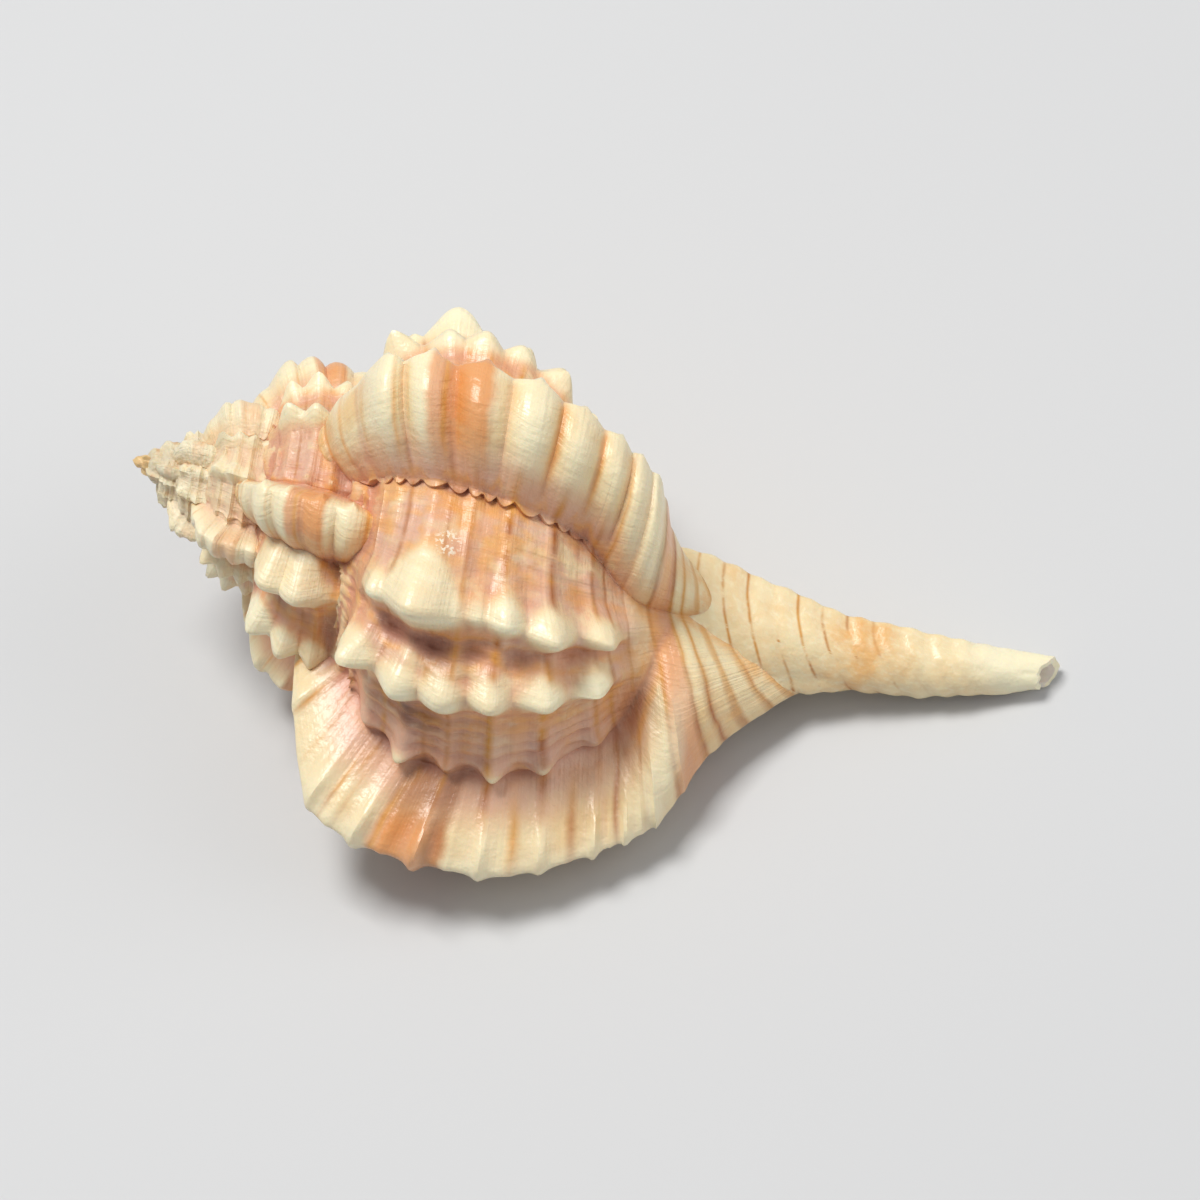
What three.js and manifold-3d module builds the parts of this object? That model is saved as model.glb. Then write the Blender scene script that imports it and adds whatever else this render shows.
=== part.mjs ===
// Murex shell: a dextral, siphonate sea shell grown along a logarithmic spiral.
// Units are millimetres, +Z is up, and the shell lies on its aperture side as on a table.
import * as THREE from 'three';
import Module from 'manifold-3d';

const wasm = await Module();
wasm.setup();

// ---- driving dimensions -----------------------------------------------------------------
const TURN = 2 * Math.PI;
const EXPANSION = 1.7;             // growth in size over one turn
const LIP_ANGLE = -70;             // degrees: where the newest varix stands round the axis
const VARIX_STEP = 0.3;            // turns between one varix and the next
const VARIX_COUNT = 20;            // varices from the lip back to the tip of the spire
const FULL_WHORLS = 4;             // newest stages whose base and neck are still exposed
const VARIX_HEIGHTS = [1, 1, 1, 0.78, 0.9, 1.05];  // from the lip back; the others take the last
const CREST_REACH = 0.028;         // turns over which a varix rises behind its edge
const CREST_POWER = 1.3;           // how hollow that rise is
const FACE_REACH = 0.06;           // turns over which its front face falls to the seam
const FACE_POWER = 1.5;
const OVERLAP = 0.012;             // turns that a stage starts inside the stage before it
const SEAM_STEP = 0.05;            // share of the radius by which a new stage starts lower
const WHORL_GRID = [17, 30];       // steps along the growth and along the outline
const SPIRE_GRID = [11, 14];
const TIP_GRID = [6, 7];
const TIP_STAGE = 8;               // stages from this one back are the tip of the spire
const SPIRE_LAST_CORD = 7;         // where the outline of an older stage ends, covered by the next
const WEDGE_TOP = 16;              // along the axis at the lip's size, inside the older whorls

const RIB_PLACES = [-0.2, -0.1];   // turns before the varix edge
const RIB_WIDTH = 0.021;           // turns
const RIB_HEIGHT = 3.6;
const RIB_CORDS = [0.6, 2, 5, 8.5];  // a rib starts, is full, falls and ends on these cords
const NODE_SHARE = 0.4;            // share of the rib's height that swings from node to gap
const CORD_HEIGHT = 0.55;          // relief of the spiral cords on the body
const FOLD_HEIGHT = 0.9;           // relief of the folds on a varix
const NECK_CORD = 8;               // cord from which that relief fades towards the canal

const CANAL_START = 38;            // along the axis, inside the body whorl
const CANAL_END = 89.3;            // the broken end of the siphonal canal
const BEND_START = 65;             // where the canal starts to bend to the back
const BEND_REACH = 3.8;            // how far the bent end stands off the coiling axis
const BEND_POWER = 1.6;
const BEND_ANGLE = 80;             // degrees round the axis
const BORE_RADIUS = 1.0;           // passage through the canal
const SLIT_WIDTH = 0.9;            // slit along the canal
const SLIT_ANGLE = -108;           // degrees round the axis
const SLIT_REACH = 14;             // how far out of the axis the slit is cut
const CUT_LENGTH = 2;              // how far the passage and the slit are cut past the end
const CANAL_RINGS = 24;
const CANAL_SIDES = 16;
const BORE_SIDES = 6;

const CALLUS_START = -1;           // turns: the smooth callus beside the aperture
const CALLUS_END = -0.74;
const CALLUS_CORE = 0.7;           // share of its width over which it covers fully
const CALLUS_COVER = 0.75;         // share of the relief that it evens out

const CAVITY_RINGS = 12;
const APERTURE_SIDES = 18;
const CAVITY_DEPTH = 0.5;          // turns that the aperture reaches back into the whorl
const CAVITY_MOUTH = 0.15;         // turns past the lip, so the cut clears the front face
const CAVITY_TAPER = 0.96;         // share of its area that the hollow loses on the way back

const SHELL_COLOUR = 0xe9cfae;
const SHELL_ROUGHNESS = 0.4;

// Resting attitude, in degrees: the shell lies on the lip, an old varix and the canal's end.
const REST_SIDE = -150.18;         // angle round the axis that faces down
const REST_PITCH = 15.42;          // how far the canal points down

// Whorl outline at the lip, as (distance from the apex along the axis, radius).
// Each point after the first two lies on one spiral cord.
const BODY_OUTLINE = new THREE.SplineCurve([
  [22.6, 11.1], [24.7, 14.6], [28.4, 19.6], [32.6, 22.2], [36.9, 22.7], [41.1, 22.0],
  [45.4, 19.6], [49.6, 15.4], [53.8, 11.0], [58.5, 7.4], [65.1, 4.6],
].map(([a, r]) => new THREE.Vector2(a, r)));

// Edge of the varix that stands on that outline, point for point.
const EDGE_OUTLINE = new THREE.SplineCurve([
  [19.6, 13.2], [20.9, 18.9], [24.7, 27.8], [29.6, 30.4], [35.6, 31.1], [41.8, 30.6],
  [47.2, 28.3], [51.7, 25.5], [55.6, 22.2], [59.6, 14.1], [66.0, 5.5],
].map(([a, r]) => new THREE.Vector2(a, r)));
const LAST_CORD = BODY_OUTLINE.points.length - 1;

// Aperture in the plane of the lip, from the notch at the suture round to the canal and back.
const APERTURE_OUTLINE = new THREE.SplineCurve([
  [25.0, 13.6], [28.6, 17.4], [33.0, 19.6], [37.4, 19.9], [41.8, 19.0], [45.6, 16.4],
  [48.8, 12.2], [51.4, 7.6], [52.4, 4.4], [49.6, 3.4], [44.0, 4.4], [37.6, 5.0],
  [32.6, 6.8], [29.0, 9.6], [26.2, 12.2], [25.0, 13.6],
].map(([a, r]) => new THREE.Vector2(a, r)));

// Canal radius from its start to its end.
const CANAL_RADII = new THREE.SplineCurve([
  [38, 2.2], [46, 4.6], [53, 5.8], [61, 4.9], [68.4, 3.7], [75, 3.2], [81, 2.7], [89.3, 1.6],
].map(([a, r]) => new THREE.Vector2(a, r)));

// ---- growth -----------------------------------------------------------------------------
const degrees = THREE.MathUtils.degToRad;
const { smoothstep, lerp } = THREE.MathUtils;

const growth = (turns) => EXPANSION ** turns;

function bendAt(along) {
  const past = Math.max(0, along - BEND_START) / (CANAL_END - BEND_START);
  return BEND_REACH * past ** BEND_POWER;
}

// A point of the shell from its place along the axis, its radius and its angle round the axis.
function place(along, radius, angle) {
  const bend = bendAt(along);
  const side = degrees(BEND_ANGLE);
  return new THREE.Vector3(
    along,
    radius * Math.sin(angle) + bend * Math.sin(side),
    radius * Math.cos(angle) + bend * Math.cos(side),
  );
}

const angleAt = (turns) => degrees(LIP_ANGLE) - TURN * turns;

// How far a varix stands out, from 0 on the body to 1 at its edge.
function varixRise(phase) {
  if (phase <= -CREST_REACH) return 0;
  if (phase <= 0) return (1 + phase / CREST_REACH) ** CREST_POWER;
  return Math.max(0, 1 - phase / FACE_REACH) ** FACE_POWER;
}

// 1 on the wall that the aperture's callus covers, 0 elsewhere.
function callus(turns) {
  const middle = (CALLUS_START + CALLUS_END) / 2;
  const half = (CALLUS_END - CALLUS_START) / 2;
  return 1 - smoothstep(Math.abs(turns - middle), CALLUS_CORE * half, half);
}

const bump = (x, width) => Math.exp(-((x / width) ** 2));

// A surface point of one growth stage: phase is in turns from its varix edge, cord runs
// along the outline.
function stagePoint(stage, phase, cord) {
  const turns = phase - VARIX_STEP * stage;
  const share = cord / LAST_CORD;
  const body = BODY_OUTLINE.getPoint(share);
  const edge = EDGE_OUTLINE.getPoint(share);
  const height = VARIX_HEIGHTS[Math.min(stage, VARIX_HEIGHTS.length - 1)];
  const rise = height * varixRise(phase);
  const fold = Math.cos(TURN * cord);
  const [ribStart, ribFull, ribFall, ribEnd] = RIB_CORDS;
  const shoulder = smoothstep(cord, ribStart, ribFull) * (1 - smoothstep(cord, ribFall, ribEnd));
  const rib = RIB_PLACES.reduce((sum, at) => sum + bump(phase - at, RIB_WIDTH), 0);
  const node = 1 - NODE_SHARE + NODE_SHARE * fold;
  const fade = 1 - smoothstep(cord, NECK_CORD, LAST_CORD);
  const relief = (1 - CALLUS_COVER * callus(turns)) * (RIB_HEIGHT * rib * node * shoulder
    + fold * fade * lerp(CORD_HEIGHT, FOLD_HEIGHT, rise));
  const start = smoothstep(phase, FACE_REACH - VARIX_STEP - OVERLAP, RIB_PLACES[0]);
  const size = growth(turns);
  const radius = (lerp(body.y, edge.y, rise) + relief) * (1 - SEAM_STEP * (1 - start));
  const along = lerp(body.x, edge.x, rise);
  return place(along * size, radius * size, angleAt(turns));
}

// ---- closed solids ----------------------------------------------------------------------
// A closed surface as a solid, whichever way round its triangles were listed.
function solid(points, triangles) {
  const volume = triangles.reduce((sum, [a, b, c]) => sum
    + points[a].dot(new THREE.Vector3().crossVectors(points[b], points[c])), 0);
  const faces = volume > 0 ? triangles : triangles.map((face) => face.reverse());
  const vertProperties = new Float32Array(points.flatMap((p) => [p.x, p.y, p.z]));
  const triVerts = new Uint32Array(faces.flat());
  return new wasm.Manifold(new wasm.Mesh({ numProp: 3, vertProperties, triVerts }));
}

// A wedge between a grid of outline rows and the line from top to bottom on the axis.
function wedge(rows, top, bottom) {
  const width = rows[0].length;
  const points = [...rows.flat(), top, bottom];
  const topId = points.length - 2;
  const bottomId = points.length - 1;
  const triangles = [];
  for (let i = 0; i + 1 < rows.length; i += 1) {
    const here = i * width;
    const next = here + width;
    triangles.push([topId, next, here], [bottomId, here + width - 1, next + width - 1]);
    for (let j = 0; j + 1 < width; j += 1) {
      triangles.push([here + j, next + j, here + j + 1], [here + j + 1, next + j, next + j + 1]);
    }
  }
  for (const [first, flip] of [[0, true], [(rows.length - 1) * width, false]]) {
    const outline = [topId, ...rows[0].map((_, j) => first + j), bottomId];
    const flat = outline.map((id) => {
      const p = points[id];
      return new THREE.Vector2(p.x, Math.hypot(p.y, p.z));
    });
    for (const [a, b, c] of THREE.ShapeUtils.triangulateShape(flat, [])) {
      const face = [outline[a], outline[b], outline[c]];
      triangles.push(flip ? face.reverse() : face);
    }
  }
  return solid(points, triangles);
}

// A tube through closed rings of points, its two ends closed on middle points.
function tube(rings, startPoint, endPoint) {
  const width = rings[0].length;
  const points = [...rings.flat(), startPoint, endPoint];
  const triangles = [];
  for (let j = 0; j < width; j += 1) {
    const k = (j + 1) % width;
    const last = (rings.length - 1) * width;
    triangles.push([points.length - 2, k, j], [points.length - 1, last + j, last + k]);
    for (let i = 0; i + 1 < rings.length; i += 1) {
      const here = i * width;
      const next = here + width;
      triangles.push([here + j, here + k, next + j], [here + k, next + k, next + j]);
    }
  }
  return solid(points, triangles);
}

const steps = (count, from, to) => Array.from(
  { length: count + 1 },
  (_, i) => from + ((to - from) * i) / count,
);

function stageSolid(stage) {
  const exposed = stage < FULL_WHORLS;
  const spireGrid = stage < TIP_STAGE ? SPIRE_GRID : TIP_GRID;
  const [phaseSteps, cordSteps] = exposed ? WHORL_GRID : spireGrid;
  const lastCord = exposed ? LAST_CORD : SPIRE_LAST_CORD;
  const rows = steps(phaseSteps, FACE_REACH - VARIX_STEP - OVERLAP, FACE_REACH)
    .map((phase) => steps(cordSteps, 0, lastCord).map((cord) => stagePoint(stage, phase, cord)));
  const size = growth(-VARIX_STEP * stage);
  const top = place(WEDGE_TOP * size, 0, 0);
  const bottom = place(BODY_OUTLINE.getPoint(lastCord / LAST_CORD).x * size, 0, 0);
  return wedge(rows, top, bottom);
}

// One ring of points round the bent axis of the siphonal canal.
function canalRing(along, radius, sides) {
  return steps(sides - 1, 0, TURN * (1 - 1 / sides)).map((angle) => place(along, radius, angle));
}

function canalSolid() {
  const rings = steps(CANAL_RINGS, 0, 1).map((share) => {
    const { x: along, y: radius } = CANAL_RADII.getPoint(share);
    return canalRing(along, radius, CANAL_SIDES);
  });
  return tube(rings, place(CANAL_START, 0, 0), place(CANAL_END, 0, 0));
}

// The passage inside the canal.
const CUT_END = CANAL_END + CUT_LENGTH;

function boreSolid() {
  const rings = steps(CANAL_RINGS, CANAL_START, CUT_END)
    .map((along) => canalRing(along, BORE_RADIUS, BORE_SIDES));
  return tube(rings, place(CANAL_START, 0, 0), place(CUT_END, 0, 0));
}

// The slit that opens the passage on the aperture side.
function slitSolid() {
  const side = degrees(SLIT_ANGLE);
  const across = new THREE.Vector3(0, Math.cos(side), -Math.sin(side))
    .multiplyScalar(SLIT_WIDTH / 2);
  const rings = steps(CANAL_RINGS, CANAL_START, CUT_END).map((along) => {
    const inner = place(along, 0, side);
    const outer = place(along, SLIT_REACH, side);
    return [
      inner.clone().add(across), inner.clone().sub(across),
      outer.clone().sub(across), outer.clone().add(across),
    ];
  });
  const ends = [CANAL_START, CUT_END].map((along) => place(along, SLIT_REACH / 2, side));
  return tube(rings, ...ends);
}

// The hollow behind the lip: the aperture outline drawn back along the spiral, narrowing.
function cavitySolid() {
  const outline = steps(APERTURE_SIDES - 1, 0, 1 - 1 / APERTURE_SIDES)
    .map((share) => APERTURE_OUTLINE.getPoint(share));
  const middle = outline.reduce((sum, p) => sum.add(p), new THREE.Vector2())
    .divideScalar(outline.length);
  const rings = steps(CAVITY_RINGS, -CAVITY_DEPTH, CAVITY_MOUTH).map((turns) => {
    const back = Math.max(0, -turns / CAVITY_DEPTH);
    const width = Math.sqrt(1 - CAVITY_TAPER * back ** 2);
    return outline.map((p) => {
      const q = p.clone().sub(middle).multiplyScalar(width).add(middle);
      q.multiplyScalar(growth(turns));
      return place(q.x, q.y, angleAt(turns));
    });
  });
  const ends = [-CAVITY_DEPTH, CAVITY_MOUTH].map((turns) => {
    const q = middle.clone().multiplyScalar(growth(turns));
    return place(q.x, q.y, angleAt(turns));
  });
  return tube(rings, ...ends);
}

const stages = Array.from({ length: VARIX_COUNT }, (_, stage) => stageSolid(stage));
const shell = stages.reduce((sum, part) => sum.add(part), canalSolid())
  .subtract(cavitySolid())
  .subtract(boreSolid())
  .subtract(slitSolid());

// ---- the shell as it lies ---------------------------------------------------------------
const mesh = shell.getMesh();
const geometry = new THREE.BufferGeometry();
geometry.setAttribute('position', new THREE.BufferAttribute(mesh.vertProperties, 3));
geometry.setIndex(new THREE.BufferAttribute(mesh.triVerts, 1));
geometry.rotateX(degrees(REST_SIDE - 180));
geometry.rotateY(degrees(REST_PITCH));
geometry.computeBoundingBox();
const { min, max } = geometry.boundingBox;
geometry.translate(-(min.x + max.x) / 2, -(min.y + max.y) / 2, -min.z);

const wall = new THREE.MeshStandardMaterial({ color: SHELL_COLOUR, roughness: SHELL_ROUGHNESS });
const shellMesh = new THREE.Mesh(geometry, wall);
shellMesh.name = 'shell';

const group = new THREE.Group();
group.add(shellMesh);
export default group;
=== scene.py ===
"""Murex shell, lying on its aperture side on a pale floor.

The shell is grown along one logarithmic spiral, stage by stage from the tip of the spire to the lip.
Lengths are in millimetres in the shell's own frame: X runs along the coiling axis from the apex to
the siphonal canal, and angles go round that axis. The finished mesh is turned into its resting
attitude and written in metres.
"""
import math

import bpy
import numpy as np
from mathutils import Matrix, Vector


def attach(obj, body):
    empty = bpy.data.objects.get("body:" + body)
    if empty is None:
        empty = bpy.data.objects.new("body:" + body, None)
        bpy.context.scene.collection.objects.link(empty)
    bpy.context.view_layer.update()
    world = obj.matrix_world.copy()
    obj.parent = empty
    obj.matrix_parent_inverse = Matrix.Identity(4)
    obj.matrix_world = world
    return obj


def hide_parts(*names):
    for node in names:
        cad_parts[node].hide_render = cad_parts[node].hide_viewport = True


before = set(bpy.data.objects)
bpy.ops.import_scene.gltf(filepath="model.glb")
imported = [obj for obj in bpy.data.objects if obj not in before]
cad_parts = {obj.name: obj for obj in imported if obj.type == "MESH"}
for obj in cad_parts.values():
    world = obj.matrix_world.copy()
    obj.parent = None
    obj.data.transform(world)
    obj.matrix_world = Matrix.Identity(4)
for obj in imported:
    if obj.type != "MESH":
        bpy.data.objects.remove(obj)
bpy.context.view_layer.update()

MM = 0.001

# ---- growth ------------------------------------------------------------------------------------
EXPANSION = 1.7            # growth in size over one turn
LIP_ANGLE = -70            # degrees: where the newest varix stands round the axis
VARIX_STEP = 0.3           # turns between varices
STAGES = 22                # growth stages, from the lip back to the apex
EXPOSED_STAGES = 4         # newest stages, whose base and neck are still in view
FACE_REACH = 0.06          # turns over which the front face of a varix falls to the seam
OVERLAP = 0.014            # turns that a stage starts inside the one before
NECK_REACH = 0.115         # the same on the neck, where the folds run into a pit
SEAM_STEP = (0.036, 0.055) # share of the radius by which a new stage starts lower: body, spire
VARIX_HEIGHTS = (1, 1, 1, 0.8, 0.95, 1.1, 0.95, 0.9, 0.9)
RIBS = {0: (-0.152, -0.1), 1: (-0.15, -0.1), 2: (-0.17, -0.1), 3: (-0.2, -0.115)}
SPIRE_RIBS = (-0.205, -0.12)
LAST_CORD = 10
SPIRE_LAST_CORD = 7        # older outlines end here, covered by the next whorl

# Whorl outline at the lip, (distance from the apex, radius), one point to a spiral cord.
BODY = ((22.6, 11.1), (24.7, 14.6), (28.4, 19.6), (32.6, 22.2), (36.9, 22.7), (41.1, 22.0),
        (45.4, 19.6), (49.6, 15.4), (53.8, 11.0), (58.5, 7.2), (65.1, 3.6))
# Edge of the varix on that outline, point for point.
EDGE = ((19.6, 13.2), (20.9, 18.9), (24.7, 27.8), (29.6, 30.4), (35.6, 31.1), (41.8, 30.6),
        (47.2, 28.3), (51.7, 25.3), (56.6, 20.8), (60.0, 12.0), (66.5, 3.9))
# Aperture in the plane of the lip, from the notch at the suture round to the canal and back.
APERTURE = ((25.0, 13.6), (28.6, 17.4), (33.0, 19.6), (37.4, 19.9), (41.8, 19.0), (45.6, 16.4),
            (48.8, 12.2), (51.4, 7.6), (52.4, 4.4), (49.6, 3.4), (44.0, 4.4), (37.6, 5.0),
            (32.6, 6.8), (29.0, 9.6), (26.2, 12.2), (25.0, 13.6))
# Siphonal canal, (distance from the apex, radius).
CANAL = ((38, 2.2), (46, 4.6), (53, 5.8), (61, 4.9), (68.4, 3.7), (75, 3.2), (81, 2.7), (89.3, 1.6))
CANAL_END = 89.3
BEND_START, BEND_REACH, BEND_POWER, BEND_ANGLE = 65, 3.8, 1.6, 80

# Resting attitude, in degrees.
REST_SIDE = -150.18        # angle round the axis that faces down
REST_PITCH = 15.42         # how far the canal points down


def spline(points):
    """A smooth curve through points, as a function of the point number."""
    table = np.array(points, float)
    last = len(table) - 1

    def at(place):
        place = np.clip(np.asarray(place, float), 0, last)
        left = np.minimum(np.floor(place).astype(int), last - 1)
        w = (place - left)[..., None]
        p0, p1 = table[np.maximum(left - 1, 0)], table[left]
        p2, p3 = table[left + 1], table[np.minimum(left + 2, last)]
        m1, m2 = (p2 - p0) / 2, (p3 - p1) / 2
        return ((2 * w**3 - 3 * w**2 + 1) * p1 + (w**3 - 2 * w**2 + w) * m1
                + (3 * w**2 - 2 * w**3) * p2 + (w**3 - w**2) * m2)
    return at


body_outline, edge_outline = spline(BODY), spline(EDGE)
aperture_outline, canal_outline = spline(APERTURE), spline(CANAL)


def smooth(x, low, high):
    x = np.clip((np.asarray(x, float) - low) / (high - low), 0, 1)
    return x * x * (3 - 2 * x)


def bump(x, width):
    return np.exp(-((np.asarray(x, float) / width) ** 2))


class Noise:
    """Smooth seeded noise in three dimensions, about -1 to 1."""

    def __init__(self, seed):
        rng = np.random.default_rng(seed)
        self.order = np.concatenate([rng.permutation(256)] * 3)
        self.values = rng.uniform(-1, 1, 256)

    def __call__(self, x, y, z):
        x, y, z = np.broadcast_arrays(x, y, z)
        cell = [np.floor(v).astype(int) for v in (x, y, z)]
        part = [v - c for v, c in zip((x, y, z), cell)]
        ease = [p * p * (3 - 2 * p) for p in part]
        total = 0
        for i in (0, 1):
            for j in (0, 1):
                for k in (0, 1):
                    h = self.order[(cell[0] + i) & 255]
                    h = self.order[h + ((cell[1] + j) & 255)]
                    h = self.order[h + ((cell[2] + k) & 255)]
                    wx = ease[0] if i else 1 - ease[0]
                    wy = ease[1] if j else 1 - ease[1]
                    wz = ease[2] if k else 1 - ease[2]
                    total = total + wx * wy * wz * self.values[h]
        return total


def growth(turns):
    return EXPANSION ** np.asarray(turns, float)


def angle_at(turns):
    return math.radians(LIP_ANGLE) - 2 * math.pi * np.asarray(turns, float)


def place(along, radius, angle):
    """Points from their place along the axis, radius and angle; the canal is bent to the back."""
    along, radius, angle = np.broadcast_arrays(along, radius, angle)
    past = np.maximum(0, along - BEND_START) / (CANAL_END - BEND_START)
    bend = BEND_REACH * past ** BEND_POWER
    side = math.radians(BEND_ANGLE)
    return np.stack([along, radius * np.sin(angle) + bend * math.sin(side),
                     radius * np.cos(angle) + bend * math.cos(side)], -1)


# ---- relief of one growth stage, in millimetres at the lip's size ---------------------------------
rough_noise, wave_noise, lamella_noise, size_noise = Noise(3), Noise(7), Noise(11), Noise(19)

# Nodes of the newest stage: (phase, cord, height, length in turns, width in cords).
NEWEST_NODES = (
    (-0.150, 2.2, 1.6, 0.011, 0.34), (-0.155, 3.15, 4.0, 0.020, 0.66), (-0.157, 4.35, 0.9, 0.014, 0.40),
    (-0.157, 5.0, 1.9, 0.013, 0.40), (-0.149, 5.95, 2.4, 0.014, 0.42), (-0.146, 7.15, 2.4, 0.012, 0.38),
    (-0.0975, 1.9, 3.0, 0.010, 0.36), (-0.0905, 2.9, 2.0, 0.011, 0.44), (-0.093, 3.8, 1.9, 0.012, 0.46),
    (-0.100, 4.8, 1.8, 0.011, 0.36), (-0.1035, 5.9, 1.9, 0.012, 0.40), (-0.105, 6.95, 1.9, 0.011, 0.42),
)
# Stage 3 bears one great double node in place of its first rib.
DOUBLE_NODE = ((-0.205, 2.40, 4.4, 0.027, 0.72), (-0.203, 3.35, 4.3, 0.027, 0.74))
KNOB_PHASE = -0.030        # a row of small knobs at the foot of the varix
CALLUS = (-1.0, -0.74)     # turns: the wall beside the aperture, evened out by its callus
VARIX_FOOT = 0.021         # turns over which the back of a varix climbs to its edge
NECK_FOOT = 0.19           # how much longer that is on the neck of the newest one
NODE_LENGTH, NODE_WIDTH = 0.014, 0.45   # of the older nodes, in turns and cords
SHOULDER_NODE, LOWER_NODE = 3.4, 2.5    # their heights on cords 2 and 3, and below
CLOSE_FOLDS = 7            # cord from which the folds of a varix stand twice as close
FOLD_LEAN = (0.0052, 0.0068)            # turns that they lean, behind and ahead of the edge
FLUTING = (0.50, 0.95)     # height of the newest edge's teeth, and of the lobes of the older ones
GROWTH_LINE_STEP = 0.0118  # turns between growth lines
CRIMP_DEPTH, CRIMP_STEP = 0.10, 0.46    # of the front seam: share of its reach, and cords


def face_reach(stage, cord):
    return FACE_REACH + (NECK_REACH - FACE_REACH) * smooth(cord, 6.7, 8.5) * (stage > 0)


def varix_rise(stage, phase, cord):
    """How far the varix stands out, from 0 on the body to 1 at its edge."""
    foot = VARIX_FOOT + (NECK_FOOT * smooth(cord, 7.2, 9.6) if stage == 0 else 0)
    behind = np.sin(np.pi / 2 * np.clip(1 + phase / foot, 0, 1)) ** 1.5
    x = np.clip(phase / face_reach(stage, cord), 0, 1)
    ahead = (1 - x ** 1.5) ** 1.3 if stage == 0 else (1 - x ** 2.3) ** 1.1
    return np.where(phase < 0, behind, ahead)


def stage_nodes(stage):
    """Nodes of a stage's ribs, as in NEWEST_NODES."""
    if stage == 0:
        return NEWEST_NODES
    rng = np.random.default_rng(40 + stage)
    if stage < 3:
        return [(phase + rng.uniform(-0.004, 0.004), cord + rng.uniform(-0.12, 0.12),
                 height * rng.uniform(0.9, 1.25), length, width)
                for phase, cord, height, length, width in NEWEST_NODES]
    nodes = list(DOUBLE_NODE) if stage == 3 else []
    for rib in RIBS.get(stage, SPIRE_RIBS)[len(nodes) > 0:]:
        for cord in range(2, 8):
            height = (SHOULDER_NODE if cord in (2, 3) else LOWER_NODE) * rng.uniform(0.8, 1.15)
            nodes.append((rib + rng.uniform(-0.004, 0.004), cord + rng.uniform(-0.1, 0.1), height,
                          NODE_LENGTH * rng.uniform(0.85, 1.2), NODE_WIDTH * rng.uniform(0.9, 1.2)))
    return nodes


def node_relief(stage, phase, cord):
    """Height of the nodes, which are steep towards the lip and drawn out behind."""
    total = 0
    for at, line, height, length, width in stage_nodes(stage):
        gap = phase - at
        along = np.where(gap > 0, gap / (0.72 * length), gap / (1.75 * length))
        d = along ** 2 + np.abs((cord - line) / width) ** 1.8
        total = np.maximum(total, 1.08 * height * np.exp(-d ** 0.98))
    return total


def rib_relief(stage, phase, cord):
    """Height of the ribs, and of the knobs at the foot of the varix."""
    shoulder = smooth(cord, 0.9, 2.2) * (1 - smooth(cord, 6.6, 8.6))
    ribs = sum(bump(phase - at, 0.016) for at in RIBS.get(stage, SPIRE_RIBS))
    on_cord = bump(cord - np.round(cord), 0.29) * smooth(cord, 1.5, 2.6)
    knobs = bump(phase - KNOB_PHASE, 0.0075) * on_cord
    knobs = knobs * (1.35 + 0.6 * size_noise(np.round(cord) * 3.3, stage * 1.7, 0.5))
    return 1.5 * ribs * shoulder, knobs * (1 - smooth(cord, 7, 8))


def varix_folds(stage, phase, cord, rise):
    """Folds of a varix, one to a cord: how far they lean, in turns, and how high they stand."""
    uneven = 1 + 0.5 * wave_noise(cord * 1.3, stage * 3.7, 0.5)
    fold = cord + np.maximum(cord - CLOSE_FOLDS, 0)
    broad = 1 + 0.7 * (1 - smooth(cord, 3.2, 5.5))
    lobe = (np.abs(np.cos(np.pi * fold)) ** 0.8 - 0.6) * uneven * broad
    crest = np.cos(np.pi * fold) ** 10 - 0.2
    half = np.cos(2 * np.pi * fold) ** 8 - 0.2
    ridge = (crest + 0.3 * half) * (1 + 0.35 * wave_noise(cord * 1.7, stage * 5.1, 2.5))
    fade = 1 - smooth(cord, 8.4, LAST_CORD)
    behind = -FOLD_LEAN[0] * ridge * smooth(-phase, 0, 0.006) * smooth(rise, 0.25, 0.8)
    ahead = FOLD_LEAN[1] * lobe * smooth(phase, 0, 0.010)
    lean = np.where(phase < 0, behind, ahead) * rise * fade
    # the outer edge is toothed at the newest varix and lobed at the older ones
    height = (FLUTING[1] * lobe if stage else FLUTING[0] * ridge) * rise * fade
    return lean, height


def cords_and_lines(stage, phase, cord, turns):
    """Spiral cords, crossed by growth lines; both are coarser on the old whorls."""
    old = smooth(stage, 3, 7)
    cords = (0.20 * np.cos(2 * np.pi * cord) + 0.09 * np.cos(4 * np.pi * cord)) * (1 + 1.8 * old)
    wander = 2.6 * rough_noise(cord * 1.1, turns * 30, 2.0)
    lines = 0.10 * np.sin(2 * np.pi * turns / GROWTH_LINE_STEP + wander) * (1 + 1.2 * old)
    lines = lines * (1 - 0.85 * smooth(cord, 6.5, 8)) * (1 + 0.6 * bump(phase + 0.055, 0.022))
    lines = lines * (1 + 0.9 * wave_noise(cord * 0.9, turns * 24, 6.5))
    return cords + lines


def ramp_lamellae(stage, cord, turns, open_body):
    """Crumpled lamellae on the ramp under the suture."""
    ramp = (1 - smooth(cord, 1.2, 2.3)) * open_body
    drift = 0.9 * rough_noise(cord * 0.8, turns * 26, 8.5)
    strand = 1 - np.abs(lamella_noise(cord * 3.6 + drift, turns * 24, stage))
    return 0.95 * (strand ** 2.5 - 0.4) * ramp


def wall_unevenness(stage, cord, turns):
    """Unevenness of the whole wall, coarser on the worn spire."""
    wear = 0.10 + 0.35 * smooth(stage, 4, 9)
    return (0.35 * wave_noise(cord * 0.7, turns * 9, 1.5)
            + wear * rough_noise(cord * 2.6, turns * 55, 4.5)
            + 0.05 * rough_noise(cord * 5.0, turns * 120, 6.5))


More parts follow.
